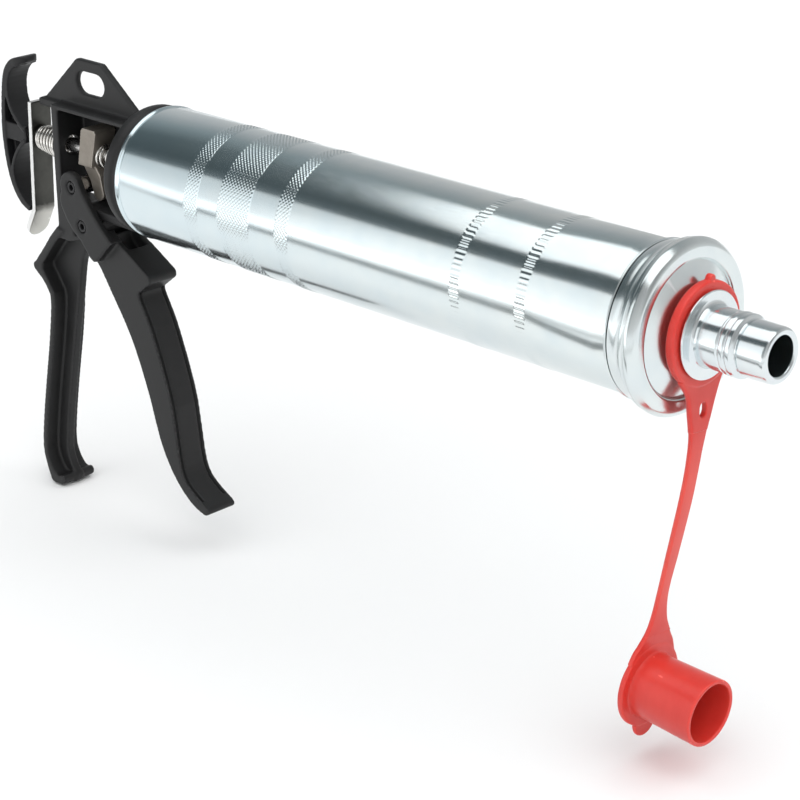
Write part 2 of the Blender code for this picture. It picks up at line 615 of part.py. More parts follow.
def make_strap(parent, red):
    """The moulded strap: it hangs straight, then bends back under the cup's weight, and widens at its foot."""
    stations = [(288.0, -1.5, -37.9, 4.4), (287.5, -1.9, -44, 3.7), (286.8, -2.8, -53, 3.4),
                (285.7, -3.9, -63, 3.4), (283.4, -4.4, -75, 3.3), (280.8, -4.6, -87, 3.1),
                (278.7, -4.9, -97, 2.8), (277.6, -5.1, -103, 2.9), (276.9, -5.3, -108.5, 3.5),
                (276.4, -5.5, -113.5, 4.7), (276.1, -5.6, -116.8, 6.2)]
    bands = [smooth([(row[2], row[k]) for row in stations], 3) for k in (0, 1, 3)]
    centres = [((xs[1], ys[1], xs[0]), halves[1]) for xs, ys, halves in zip(*bands)]
    return strip("dust_cap_strap", centres, STRAP_THICKNESS, parent, red)


def make_dust_cap(parent, red):
    """The cup that covers the plug, on the disc at the strap's end."""
    axis = Vector((math.cos(CUP_TILT), 0, -math.sin(CUP_TILT)))
    base = CUP_RADIUS - 0.6
    half = DISC_THICKNESS / 2
    profile = [(-half, 0), (-half, DISC_RADIUS - 0.4), (-half + 0.4, DISC_RADIUS), (half - 0.4, DISC_RADIUS),
               (half, DISC_RADIUS - 0.4), (half, base + 0.6), (half + 0.6, base), (CUP_LENGTH, CUP_RADIUS - 0.2),
               (CUP_LENGTH + 0.3, CUP_RADIUS - 0.5), (CUP_LENGTH + 0.3, CUP_RADIUS - CUP_WALL + 0.2),
               (CUP_LENGTH, CUP_RADIUS - CUP_WALL), (half + 0.8, base - CUP_WALL), (half + 0.8, 0)]
    cap = turned("dust_cap", profile, 48, parent, red, centre=CUP_CENTRE, axis=axis)
    tab_centre = Vector(CUP_CENTRE) + Vector((-0.8, -0.9, -DISC_RADIUS + 1.0))
    tab = turned("pull_tab", [(-0.8, 0), (-0.8, 6.0), (0.8, 6.0), (0.8, 0)], 28, parent, centre=tab_centre,
                 axis=axis)
    join(cap, tab,
         strip("cap_neck", [((276.0, -5.6, -118.4), 7.0), ((275.7, -5.9, -121.0), 8.9),
                            ((275.3, -6.3, -124.5), 11.6), ((275.0, -7.0, -129.0), 13.4)], STRAP_THICKNESS, parent))
    return cap


# ---------------------------------------------------------------- assembly

def main():
    clear_scene()
    black = finish_of("black_powder_coat", (0.020, 0.020, 0.021), 0.55, 0.0)
    plastic = finish_of("black_plastic", (0.022, 0.022, 0.023), 0.45, 0.0)
    zinc = finish_of("bright_zinc", (0.78, 0.81, 0.83), 0.22, 1.0)
    steel = finish_of("polished_steel", (0.70, 0.70, 0.69), 0.25, 1.0)
    spring = finish_of("spring_steel", (0.66, 0.64, 0.60), 0.3, 1.0)
    sintered = finish_of("sintered_steel", (0.26, 0.24, 0.21), 0.5, 0.7)
    bronze = finish_of("bronze", (0.55, 0.38, 0.18), 0.4, 1.0)
    rubber = finish_of("black_rubber", (0.015, 0.015, 0.016), 0.7, 0.0)
    red = finish_of("red_polyethylene", (0.72, 0.06, 0.045), 0.38, 0.0)

    root = bpy.data.objects.new("gun", None)
    bpy.context.scene.collection.objects.link(root)
    root["at_mm"] = (0, 0, 0)
    root.location = Vector((-HANG_HOLE[0], 0, -HANG_HOLE[1])) * MM

    body = empty_at("body_origin", (0, 0, 0), root)
    make_frame(body, black)
    make_rod_bush(body, bronze)
    make_barrel(body, zinc)
    make_roll_pin("pivot_pin", PIVOT, body, black)

    carrier = empty_at("cap_carrier_origin", (BARREL_LENGTH, 0, 0), root)
    make_gasket(carrier, rubber)
    cap = empty_at("cap_origin", (BARREL_LENGTH, 0, 0), root)
    make_front_cap(cap, zinc)
    make_plug(cap, zinc)
    make_plug_nut(cap, zinc)

    make_rod_group(empty_at("rod_origin", (0, 0, 0), root), steel, rubber, zinc, plastic)

    make_jam_block(empty_at("jam_block_origin", (-44, 0, 0), root), sintered)
    coil("main_spring", -41.3, (5.0, 5.0), 22.9, 7, 1.2, 0.25,
         empty_at("main_spring_origin", (-17.5, 0, 0), root), spring)
    trigger = empty_at("trigger_origin", (PIVOT[0], 0, PIVOT[1]), root)
    make_trigger(trigger, black)
    make_roll_pin("pusher_pin", PUSHER, trigger, black)
    make_pusher_sleeve(trigger, steel)

    make_release_plate(empty_at("release_plate_origin", (PLATE_HINGE[0], 0, PLATE_HINGE[1]), root), zinc)
    coil("release_spring", -83.9, (5.0, 7.2), 15.2, 7, 1.3, -0.04,
         empty_at("release_spring_origin", (-68, 0, 0), root), spring)

    ring = empty_at("dust_cap_ring_origin", (288, 0, 0), root)
    make_ring(ring, red)
    make_strap(empty_at("dust_cap_strap_origin", STRAP_HINGE, root), red)
    make_dust_cap(empty_at("dust_cap_origin", CUP_HINGE, root), red)


main()
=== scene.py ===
"""The looks of the lever-operated cartridge gun: a bright zinc barrel with rolled knurling, black castings
with rounded edges, steel springs and pins, and a red moulded dust cap on its strap.

Shapes are drawn in millimetres in the barrel's own frame (its rear rim at x = 0, its axis at y = z = 0, +X
towards the plug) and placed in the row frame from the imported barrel's box.
"""

import math

import bmesh
import bpy
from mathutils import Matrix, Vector


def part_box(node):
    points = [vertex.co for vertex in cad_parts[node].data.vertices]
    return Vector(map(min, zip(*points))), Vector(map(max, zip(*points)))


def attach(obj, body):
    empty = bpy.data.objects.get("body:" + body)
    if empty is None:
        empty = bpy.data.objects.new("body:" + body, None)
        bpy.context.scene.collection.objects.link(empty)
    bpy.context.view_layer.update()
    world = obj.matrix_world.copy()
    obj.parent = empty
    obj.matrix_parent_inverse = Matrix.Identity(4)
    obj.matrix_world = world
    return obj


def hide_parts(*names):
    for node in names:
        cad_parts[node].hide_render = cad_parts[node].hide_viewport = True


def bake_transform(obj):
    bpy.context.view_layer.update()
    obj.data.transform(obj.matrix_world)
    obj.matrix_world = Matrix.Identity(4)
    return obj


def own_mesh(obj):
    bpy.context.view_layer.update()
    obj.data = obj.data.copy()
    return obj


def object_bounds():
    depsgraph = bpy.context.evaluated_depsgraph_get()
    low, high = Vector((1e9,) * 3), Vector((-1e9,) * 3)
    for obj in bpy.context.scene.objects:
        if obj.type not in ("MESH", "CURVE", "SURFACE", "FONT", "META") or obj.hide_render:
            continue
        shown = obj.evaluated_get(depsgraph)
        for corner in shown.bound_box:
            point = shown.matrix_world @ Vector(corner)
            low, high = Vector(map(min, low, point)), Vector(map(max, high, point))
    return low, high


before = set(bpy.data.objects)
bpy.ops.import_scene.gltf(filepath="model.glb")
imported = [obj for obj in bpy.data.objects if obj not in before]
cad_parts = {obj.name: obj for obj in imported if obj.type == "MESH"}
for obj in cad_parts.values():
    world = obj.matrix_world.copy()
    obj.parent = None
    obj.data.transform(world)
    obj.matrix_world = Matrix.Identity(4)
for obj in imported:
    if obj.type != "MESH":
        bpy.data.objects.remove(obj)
CAD_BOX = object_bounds()

MM = 0.001
AXIS_X = Vector((1, 0, 0))
AXIS_Y = Vector((0, 1, 0))
BARREL_LOW, BARREL_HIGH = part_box("barrel_tube")
ORIGIN = Vector((BARREL_LOW.x, 0, (BARREL_LOW.z + BARREL_HIGH.z) / 2))

# Driving dimensions, in millimetres in the barrel's frame.
BARREL_RADIUS = 28.5
BARREL_WALL = 1.2
BARREL_LENGTH = 275.0
KNURL_HEIGHT = 0.22
KNURL_CELLS = 98                # diamonds round the barrel
DIAMOND_BANDS = ((44.7, 53.1), (65.0, 84.0), (99.0, 106.5))
LINE_BANDS = ((193.0, 198.2), (225.0, 230.3))
LINE_COUNT = 88                 # short lengthwise ribs round the barrel
CAP_REAR = 267.3
CAP_FACE = 282.8
PLUG_END = 321.3
RING_RADIUS = 19.3
RING_BORE = 14.6
ROD_RADIUS = 3.2
ROD_REAR = -104.0
ROD_FRONT = 262.5
PIN_RADIUS = 2.6
PIN_HALF = 11.6
PIVOT = (-45.8, -31.6)
PUSHER = (-51.9, -15.0)
CUP_CENTRE = (274.6, -8.0, -139.1)
CUP_TILT = math.radians(3)
CUP_LENGTH = 29.0
CUP_RADIUS = 13.1
CUP_WALL = 1.7
DISC_RADIUS = 16.6
DISC_HALF = 1.15
STRAP_THICKNESS = 1.95

# The studio's round wall, in metres.
WALL_RADIUS = 4.4
WALL_HEIGHT = 4.0


# ---------------------------------------------------------------- mesh helpers

def placed(point):
    """A point in millimetres in the barrel's frame, as metres in the row frame."""
    return ORIGIN + Vector(point) * MM


def in_scene(name, data):
    """A new object with that data, linked into the scene."""
    made = bpy.data.objects.new(name, data)
    bpy.context.scene.collection.objects.link(made)
    return made


def mesh_piece(name, points, faces, smooth=35):
    """A mesh object from points in millimetres in the barrel's frame."""
    mesh = bpy.data.meshes.new(name)
    mesh.from_pydata([placed(point) for point in points], [], faces)
    shell = bmesh.new()
    shell.from_mesh(mesh)
    bmesh.ops.recalc_face_normals(shell, faces=shell.faces)
    shell.to_mesh(mesh)
    shell.free()
    mesh.shade_smooth()
    mesh.set_sharp_from_angle(angle=math.radians(smooth))
    return in_scene(name, mesh)


def frozen(piece):
    """Replaces a piece's mesh by what its modifiers make of it."""
    graph = bpy.context.evaluated_depsgraph_get()
    mesh = bpy.data.meshes.new_from_object(piece.evaluated_get(graph))
    piece.modifiers.clear()
    piece.data = mesh
    return piece


def arc(centre, radius, start, end, steps):
    """Points on an arc from start to end, in degrees, both ends included."""
    turns = [math.radians(start + (end - start) * i / steps) for i in range(steps + 1)]
    return [(centre[0] + radius * math.cos(a), centre[1] + radius * math.sin(a)) for a in turns]


def rounded(profile, radius, steps=4, closed=True):
    """The profile with each corner turned into an arc of up to that radius."""
    made = []
    count = len(profile)
    for i, point in enumerate(profile):
        if not closed and i in (0, count - 1):
            made.append(tuple(point))
            continue
        here = Vector(point)
        before = Vector(profile[i - 1]) - here
        after = Vector(profile[(i + 1) % count]) - here
        reach = min(radius, 0.45 * before.length, 0.45 * after.length)
        start = here + before.normalized() * reach
        end = here + after.normalized() * reach
        for step in range(steps + 1):
            t = step / steps
            made.append(tuple(start * (1 - t) ** 2 + here * 2 * t * (1 - t) + end * t ** 2))
    return made


def smooth_line(points, steps):
    """A Catmull-Rom curve through the points, with so many steps between each pair."""
    ends = [points[0]] + list(points) + [points[-1]]
    curve = []
    for i in range(1, len(ends) - 2):
        a, b, c, d = (Vector(p) for p in ends[i - 1:i + 3])
        for step in range(steps):
            t = step / steps
            curve.append(0.5 * (2 * b + (c - a) * t + (2 * a - 5 * b + 4 * c - d) * t ** 2
                                + (3 * b - a - 3 * c + d) * t ** 3))
    return [tuple(p) for p in curve] + [tuple(points[-1])]


def ring_faces(rings, closes, steps, wraps=True):
    """Quads between rings of so many points each."""
    faces = []
    for i in range(len(rings) if closes else len(rings) - 1):
        here = rings[i]
        there = rings[(i + 1) % len(rings)]
        for step in range(steps if wraps else steps - 1):
            following = (step + 1) % steps
            face = [here[step], there[step], there[following], here[following]]
            faces.append([p for k, p in enumerate(face) if p != face[k - 1]])
    return [face for face in faces if len(face) > 2]


def turned(name, profile, steps, centre=(0, 0, 0), axis=AXIS_X, shift=None):
    """A solid of revolution. The profile holds (along, radius) pairs round the section; shift, if given,
    returns how much is added to the radius at (along, angle in radians, radius)."""
    turn = AXIS_X.rotation_difference(axis).to_matrix()
    rings = []
    points = []
    for along, radius in profile:
        if radius == 0:
            rings.append([len(points)] * steps)
            points.append(Vector((along, 0, 0)))
            continue
        rings.append(list(range(len(points), len(points) + steps)))
        for step in range(steps):
            angle = 2 * math.pi * step / steps
            reach = radius + (shift(along, angle, radius) if shift else 0)
            points.append(Vector((along, reach * math.cos(angle), reach * math.sin(angle))))
    closes = profile[0][1] > 0 and profile[-1][1] > 0
    points = [turn @ point + Vector(centre) for point in points]
    return mesh_piece(name, points, ring_faces(rings, closes, steps))


def tube_along(name, line, radius):
    """A round wire along a line of points, with flat ends."""
    sides = 12
    points = []
    rings = []
    turn_from = None
    for i, point in enumerate(line):
        before = Vector(line[max(i - 1, 0)])
        after = Vector(line[min(i + 1, len(line) - 1)])
        along = (after - before).normalized()
        if turn_from is None:
            side = along.orthogonal().normalized()
        else:
            side = turn_from[0].rotation_difference(along) @ turn_from[1]
        turn_from = (along, side)
        other = along.cross(side)
        rings.append(list(range(len(points), len(points) + sides)))
        for k in range(sides):
            angle = 2 * math.pi * k / sides
            points.append(Vector(point) + radius * (side * math.cos(angle) + other * math.sin(angle)))
    faces = ring_faces(rings, False, sides)
    faces.append(rings[0])
    faces.append(rings[-1][::-1])
    return mesh_piece(name, points, faces, smooth=50)


def fused(name, pieces, voxel, passes, keep):
    """One skin over overlapping closed pieces, with its edges rounded by smoothing, and that share of its
    faces kept."""
    first = pieces[0]
    if len(pieces) > 1:
        with bpy.context.temp_override(active_object=first, selected_editable_objects=pieces):
            bpy.ops.object.join()
    first.name = name
    skin = first.modifiers.new("skin", "REMESH")
    skin.mode = "VOXEL"
    skin.voxel_size = voxel * MM
    skin.use_smooth_shade = True
    ease = first.modifiers.new("ease", "SMOOTH")
    ease.factor = 0.5
    ease.iterations = passes
    thin = first.modifiers.new("thin", "DECIMATE")
    thin.ratio = keep
    frozen(first)
    first.data.shade_smooth()
    return first


def cast_from(node, name, voxel, passes, keep):
    """A casting's skin: the CAD node's shape with its edges rounded."""
    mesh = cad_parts[node].data.copy()
    mesh.materials.clear()
    return fused(name, [in_scene(name, mesh)], voxel, passes, keep)


def plate_x(name, outline, low, high):
    """An outline in Y and Z, carried along X from low to high."""
    count = len(outline)
    points = [(low, y, z) for y, z in outline] + [(high, y, z) for y, z in outline]
    faces = [list(range(count)), list(range(count, 2 * count))[::-1]]
    for i in range(count):
        following = (i + 1) % count
        faces.append([i, following, following + count, i + count])
    return mesh_piece(name, points, faces)


def strap_section(half, thickness):
    """The section of a moulded strip: a flat bar with rounded edges."""
    box = [(-half, -thickness / 2), (half, -thickness / 2), (half, thickness / 2), (-half, thickness / 2)]
    return rounded(box, 0.45 * thickness)


def strip(name, stations, thickness):
    """A flat strip whose faces look along X: stations hold x, y, z and a half width."""
    points = []
    rings = []
    for i, station in enumerate(stations):
        before = Vector(stations[max(i - 1, 0)][:3])
        after = Vector(stations[min(i + 1, len(stations) - 1)][:3])
        along = (after - before).normalized()
        across = (AXIS_Y - along * along.y).normalized()
        out = along.cross(across)
        section = strap_section(station[3], thickness)
        rings.append(list(range(len(points), len(points) + len(section))))
        for side, face in section:
            points.append(Vector(station[:3]) + across * side + out * face)
    count = len(rings[0])
    faces = ring_faces(rings, False, count)
    faces.append(rings[0])
    faces.append(rings[-1][::-1])
    return mesh_piece(name, points, faces)


def finished(piece, material, body, node):
    """Gives a piece its material and its body, and hides the CAD node it stands for."""
    piece.data.materials.clear()
    piece.data.materials.append(material)
    if body:
        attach(piece, body)
    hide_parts(node)


# ---------------------------------------------------------------- materials

def new_material(name, metallic, **fixed):
    made = bpy.data.materials.new(name)
    made.use_nodes = True
    shader = made.node_tree.nodes["Principled BSDF"]
    shader.inputs["Metallic"].default_value = metallic
    for socket, value in fixed.items():
        shader.inputs[socket.replace("_", " ")].default_value = value
    return made, made.node_tree, shader


def object_point(tree, stretch=(1, 1, 1)):
    coordinate = tree.nodes.new("ShaderNodeTexCoord")
    mapping = tree.nodes.new("ShaderNodeMapping")
    mapping.inputs["Scale"].default_value = stretch
    tree.links.new(coordinate.outputs["Object"], mapping.inputs["Vector"])
    return mapping.outputs["Vector"]


def object_axes(tree):
    """The object's own X, Y and Z, as the outputs of one node."""
    split = tree.nodes.new("ShaderNodeSeparateXYZ")
    tree.links.new(object_point(tree), split.inputs["Vector"])
    return split.outputs


def noise(tree, point, cell, detail=3.0):
    """A noise whose features are about so many millimetres across."""
    node = tree.nodes.new("ShaderNodeTexNoise")
    node.inputs["Scale"].default_value = 1 / (cell * MM)
    node.inputs["Detail"].default_value = detail
    node.inputs["Roughness"].default_value = 0.55
    tree.links.new(point, node.inputs["Vector"])
    return node.outputs["Fac"]


def ramp(tree, value, stops):
    """A colour ramp: stops hold a position and a grey value or a colour."""
    node = tree.nodes.new("ShaderNodeValToRGB")
    elements = node.color_ramp.elements
    while len(elements) < len(stops):
        elements.new(0.5)
    for element, (position, colour) in zip(elements, stops):
        element.position = position
        element.color = (*colour, 1) if isinstance(colour, tuple) else (colour, colour, colour, 1)
    tree.links.new(value, node.inputs["Fac"])
    return node.outputs["Color"]


def mixed(tree, factor, a, b):
    """A colour that goes from a to b with the factor."""
    node = tree.nodes.new("ShaderNodeMix")
    node.data_type = "RGBA"
    inputs = [s for s in node.inputs if s.enabled]
    for socket, value in zip(inputs, (factor, a, b)):
        if isinstance(value, bpy.types.NodeSocket):
            tree.links.new(value, socket)
        elif isinstance(value, tuple):
            socket.default_value = (*value, 1)
        else:
            socket.default_value = value
    return [s for s in node.outputs if s.enabled][0]


def between(tree, factor, low, high):
    """A grey value that goes from low to high with the factor."""
    return mixed(tree, factor, (low,) * 3, (high,) * 3)


def maths(tree, kind, a, b=0.0, c=0.0):
    node = tree.nodes.new("ShaderNodeMath")
    node.operation = kind
    for socket, value in zip(node.inputs, (a, b, c)):
        if isinstance(value, bpy.types.NodeSocket):
            tree.links.new(value, socket)
        else:
            socket.default_value = value
    return node.outputs[0]


def edge_mask(tree, low, high):
    """White on convex edges, from the mesh's own pointiness."""
    geometry = tree.nodes.new("ShaderNodeNewGeometry")
    return ramp(tree, geometry.outputs["Pointiness"], ((low, 0.0), (high, 1.0)))


def bumped(tree, shader, height, strength, distance, after=None):
    """Adds a bump of that real height in millimetres to the shader."""
    node = tree.nodes.new("ShaderNodeBump")
    node.inputs["Strength"].default_value = strength
    node.inputs["Distance"].default_value = distance * MM
    tree.links.new(height, node.inputs["Height"])
    if after is not None:
        tree.links.new(after, node.inputs["Normal"])
    tree.links.new(node.outputs["Normal"], shader.inputs["Normal"])
    return node.outputs["Normal"]


def zinc_material(name, colour, tint, rough, grain, seam=None):
    """Bright zinc plate: a bluish passivation that clouds and thins towards the front, fine drawing lines of
    the given stretch, and a satin gloss that varies. A seam, if given, is a narrow line at that distance
    along the
    barrel painted near black: painted shade in the groove there."""
    made, tree, shader = new_material(name, 1.0)
    axes = object_axes(tree)
    # The blue fades from 40 mm to 250 mm in front of the hanging hole.
    ahead = ramp(tree, maths(tree, "MULTIPLY", axes["X"], 3.0), ((0.12, 0.0), (0.75, 1.0)))
    cloud = noise(tree, object_point(tree), 14, 3)
    lines = noise(tree, object_point(tree, grain), 0.5, 2)
    fine = noise(tree, object_point(tree), 0.35, 2)
    clouded = mixed(tree, ramp(tree, cloud, ((0.35, 0.0), (0.7, 1.0))), colour, tint)
    tinted = mixed(tree, ahead, mixed(tree, 0.5, clouded, (0.60, 0.73, 0.79)), clouded)
    worn = mixed(tree, edge_mask(tree, 0.53, 0.62), tinted, (0.93, 0.94, 0.95))
    if seam is not None:
        # Painted shade: a near-black line, half a millimetre wide, at the seam's distance along the barrel.
        groove = maths(tree, "COMPARE", axes["X"], placed((seam, 0, 0)).x, 0.25 * MM)
        worn = mixed(tree, groove, worn, (0.02, 0.022, 0.022))
    tree.links.new(worn, shader.inputs["Base Color"])
    spread = maths(tree, "MULTIPLY_ADD", maths(tree, "SUBTRACT", lines, 0.5), 0.10, rough)
    tree.links.new(maths(tree, "MULTIPLY_ADD", cloud, 0.06, spread), shader.inputs["Roughness"])
    first = bumped(tree, shader, lines, 0.10, 0.02)
    bumped(tree, shader, fine, 0.08, 0.02, first)
    return made


def black_coat():
    """Black powder coat: fine orange peel, slightly greyer where its edges have been rubbed."""
    made, tree, shader = new_material("black_coat_look", 0.0, IOR=1.38)
    peel = noise(tree, object_point(tree), 0.55, 2)
    cloud = noise(tree, object_point(tree), 11, 4)
    speck = noise(tree, object_point(tree), 0.9, 3)
    base = mixed(tree, cloud, (0.007, 0.007, 0.0072), (0.015, 0.015, 0.0155))
    patchy = ramp(tree, speck, ((0.42, 0.0), (0.62, 1.0)))
    rubbed = maths(tree, "MULTIPLY", edge_mask(tree, 0.53, 0.60), patchy)
    tree.links.new(mixed(tree, rubbed, base, (0.065, 0.065, 0.068)), shader.inputs["Base Color"])
    tree.links.new(between(tree, cloud, 0.40, 0.52), shader.inputs["Roughness"])
    first = bumped(tree, shader, peel, 0.35, 0.06)
    bumped(tree, shader, cloud, 0.3, 0.25, first)
    return made


def black_plastic():
    """Moulded black nylon: a fine spark texture, lighter on its rims."""
    made, tree, shader = new_material("black_plastic_look", 0.0, IOR=1.36)
    spark = noise(tree, object_point(tree), 0.4, 3)
    cloud = noise(tree, object_point(tree), 8, 3)
    base = mixed(tree, cloud, (0.005, 0.005, 0.0055), (0.011, 0.011, 0.012))
    worn = mixed(tree, edge_mask(tree, 0.52, 0.62), base, (0.045, 0.045, 0.047))
    tree.links.new(worn, shader.inputs["Base Color"])
    tree.links.new(between(tree, cloud, 0.38, 0.52), shader.inputs["Roughness"])
    bumped(tree, shader, spark, 0.3, 0.05)
    return made


def steel_material(name, colour, dark, rough, grain):
    """Machined steel: lines along the given stretch, a little oil staining, brighter edges."""
    made, tree, shader = new_material(name, 1.0)
    lines = noise(tree, object_point(tree, grain), 0.3, 3)
    stain = noise(tree, object_point(tree), 5, 4)
    base = mixed(tree, ramp(tree, stain, ((0.38, 0.0), (0.72, 1.0))), colour, dark)
    worn = mixed(tree, edge_mask(tree, 0.53, 0.62), base, (0.85, 0.85, 0.84))
    tree.links.new(worn, shader.inputs["Base Color"])
    tree.links.new(between(tree, lines, rough * 0.75, rough * 1.35), shader.inputs["Roughness"])
    bumped(tree, shader, lines, 0.15, 0.02)
    return made


def rolled_plate():
    """The release plate's rolled steel: painted shade darkens its face and painted light brightens its lower
    tab, split by height; it is rubbed bright on its sheared edges."""
    made, tree, shader = new_material("rolled_plate_look", 1.0)
    # The painted light on the tab starts about 62 mm below the hanging hole; above it the face is painted
    # shade.
    depth = maths(tree, "MULTIPLY", object_axes(tree)["Z"], -10.0)
    cloud = noise(tree, object_point(tree), 6, 4)
    wander = maths(tree, "MULTIPLY_ADD", cloud, 0.05, depth)
    painted_light_tab = ramp(tree, wander, ((0.645, 0.0), (0.70, 1.0)))
    side = tree.nodes.new("ShaderNodeSeparateXYZ")
    tree.links.new(tree.nodes.new("ShaderNodeTexCoord").outputs["Normal"], side.inputs["Vector"])
    sheared = ramp(tree, maths(tree, "ABSOLUTE", side.outputs["X"]), ((0.30, 1.0), (0.45, 0.0)))
    # Painted shade: the face's dark steel colour, clouded a little.
    face = mixed(tree, cloud, (0.045, 0.045, 0.043), (0.11, 0.11, 0.10))
    base = mixed(tree, sheared, mixed(tree, painted_light_tab, face, (0.62, 0.61, 0.57)), (0.80, 0.80, 0.79))
    worn = mixed(tree, edge_mask(tree, 0.53, 0.60), base, (0.80, 0.80, 0.78))
    tree.links.new(worn, shader.inputs["Base Color"])
    tree.links.new(between(tree, cloud, 0.26, 0.42), shader.inputs["Roughness"])
    bumped(tree, shader, noise(tree, object_point(tree), 0.5, 3), 0.15, 0.03)
    return made


def oxide_steel():
    """Blackened steel pins: dark, a little oily, with greyer worn rims."""
    made, tree, shader = new_material("black_oxide_look", 0.6)
    cloud = noise(tree, object_point(tree), 1.5, 4)
    base = mixed(tree, cloud, (0.012, 0.012, 0.013), (0.035, 0.035, 0.037))
    worn = mixed(tree, edge_mask(tree, 0.53, 0.62), base, (0.12, 0.12, 0.12))
    tree.links.new(worn, shader.inputs["Base Color"])
    tree.links.new(between(tree, cloud, 0.30, 0.46), shader.inputs["Roughness"])
    bumped(tree, shader, noise(tree, object_point(tree), 0.3, 3), 0.2, 0.03)
    return made


def sintered_steel():
    """Sintered steel: a warm grey, finely porous surface with rubbed bright edges."""
    made, tree, shader = new_material("sintered_steel_look", 0.75)
    pores = noise(tree, object_point(tree), 0.35, 4)
    cloud = noise(tree, object_point(tree), 4, 4)
    base = mixed(tree, cloud, (0.20, 0.175, 0.15), (0.34, 0.31, 0.27))
    worn = mixed(tree, edge_mask(tree, 0.52, 0.60), base, (0.62, 0.58, 0.52))
    tree.links.new(worn, shader.inputs["Base Color"])
    tree.links.new(between(tree, pores, 0.34, 0.58), shader.inputs["Roughness"])
    bumped(tree, shader, pores, 0.4, 0.05)
    return made


def rubber():
    """Black rubber: matt, with a fine grain and a grey bloom."""
    made, tree, shader = new_material("black_rubber_look", 0.0)
    grain = noise(tree, object_point(tree), 0.5, 3)
    bloom = noise(tree, object_point(tree), 6, 4)
    base = mixed(tree, bloom, (0.012, 0.012, 0.013), (0.03, 0.03, 0.031))
    tree.links.new(base, shader.inputs["Base Color"])
    tree.links.new(between(tree, grain, 0.6, 0.8), shader.inputs["Roughness"])
    bumped(tree, shader, grain, 0.3, 0.05)
    return made


def red_polyethylene(name, rims):
    """Red moulded polyethylene: waxy, slightly translucent, with flow clouds and fine mould texture. Where
    the strap is thin it is painted paler, painted light for light through the thin plastic, and lighter on
    its rims where it has any."""
    made, tree, shader = new_material(name, 0.0, Subsurface_Weight=0.35,
                                      Subsurface_Radius=(0.9, 0.15, 0.1), Subsurface_Scale=0.002)
    flow = noise(tree, object_point(tree, (1, 1, 0.35)), 6, 3)
    grain = noise(tree, object_point(tree), 0.5, 3)
    # The strap is thin from about 75 mm to 140 mm below the hanging hole; that band is painted paler, painted
    # light through the thin plastic.
    thin = ramp(tree, maths(tree, "MULTIPLY", object_axes(tree)["Z"], -5.0),
                ((0.34, 0.0), (0.42, 1.0), (0.66, 1.0), (0.73, 0.0)))
    # Painted light: the paler reds of the strap's thin band.
    base = mixed(tree, thin, mixed(tree, flow, (0.56, 0.026, 0.019), (0.67, 0.052, 0.038)),
                 mixed(tree, flow, (0.64, 0.052, 0.038), (0.74, 0.082, 0.060)))
    if rims:
        base = mixed(tree, edge_mask(tree, 0.52, 0.62), base, (0.86, 0.13, 0.10))
    tree.links.new(base, shader.inputs["Base Color"])
    tree.links.new(between(tree, grain, 0.26, 0.42), shader.inputs["Roughness"])
    bumped(tree, shader, grain, 0.12, 0.03)
    return made


# ---------------------------------------------------------------- barrel and front end

def band_share(along, bands, fade):
    """1 inside a knurled band and 0 outside it, with a short fade at both ends."""
    for low, high in bands:
        if low < along < high:
            return min(1.0, (along - low) / fade, (high - along) / fade)
    return 0.0


def knurl(along, angle, radius):
    """How far the rolled knurling stands off the barrel: crossed ridges, or short lengthwise ribs."""
    if radius < BARREL_RADIUS - 0.05:
        return 0.0
    share = band_share(along, DIAMOND_BANDS, 0.5)
    if share:
        around = angle * KNURL_CELLS / math.tau
        ahead = along * KNURL_CELLS / (math.tau * BARREL_RADIUS)
        ridges = max(abs(math.cos(math.pi * (around + ahead))), abs(math.cos(math.pi * (around - ahead))))
        return share * KNURL_HEIGHT * (ridges ** 3 - 0.35)
    share = band_share(along, LINE_BANDS, 0.7)
    if share:
        rib = abs(math.cos(angle * LINE_COUNT / 2))
        return share * KNURL_HEIGHT * 0.8 * (rib ** 2 - 0.4)
    return 0.0


def barrel_stations():
    """Where the barrel's skin has its rings: close together in the knurled bands, far apart elsewhere."""
    stations = [4.2]
    for low, high in sorted(DIAMOND_BANDS + LINE_BANDS):
        stations.append(low - 0.4)
        stations.append(low)
        steps = round((high - low) / 0.34)
        stations += [low + (high - low) * i / steps for i in range(1, steps)]
        stations.append(high)
        stations.append(high + 0.4)
    return stations + [262.0]


def make_barrel(zinc):
    inner = BARREL_RADIUS - BARREL_WALL
    rim = arc((1.6, 27.9), 0.95, 200, 40, 10) + [(2.9, 28.25), (3.4, 28.3), (3.8, 28.42)]
    skin = [(along, BARREL_RADIUS) for along in barrel_stations()]
    front = [(262.6, 28.2), (BARREL_LENGTH, 28.2), (BARREL_LENGTH, inner)]
    profile = rim + skin + front + [(1.4, inner), (0.8, inner + 0.1)]
    barrel = turned("zinc_barrel", profile, KNURL_CELLS * 5, shift=knurl)
    finished(barrel, zinc, "frame", "barrel_tube")


def make_cap(zinc):
    """The screw cap: a skirt that flares into a thick rounded flange round a shallow cone."""
    outer = ([(CAP_REAR, 28.55), (CAP_REAR, 29.2)] + arc((CAP_REAR + 0.55, 29.15), 0.5, 170, 40, 7)
             + [(CAP_REAR + 1.05, 29.2), (CAP_REAR + 1.1, 29.0), (CAP_REAR + 1.5, 29.0),
                (CAP_REAR + 1.6, 29.35), (270.2, 29.7), (271.6, 29.86)]
             + arc((272.2, 35.2), 5.3, -88, -38, 10)
             + arc((279.2, 30.5), 2.0, 130, 60, 8)
             + arc((279.8, 28.9), 3.0, 55, 0, 10))
    dish = (arc((CAP_FACE - 1.5, 26.6), 1.5, 0, -88, 10)
            + [(281.30, 25.02), (281.33, 24.93), (283.1, 20.4), (284.9, 16.1), (285.4, 15.3), (285.5, 14.7),
               (278.0, 14.7), (278.0, 12.4)])
    inside = [(275.6, 12.4), (275.6, 23.7), (277.5, 23.9), (277.5, 28.55)]
    cap = turned("screw_cap", outer + dish + inside, 160)
    finished(cap, zinc, "cap", "front_cap")


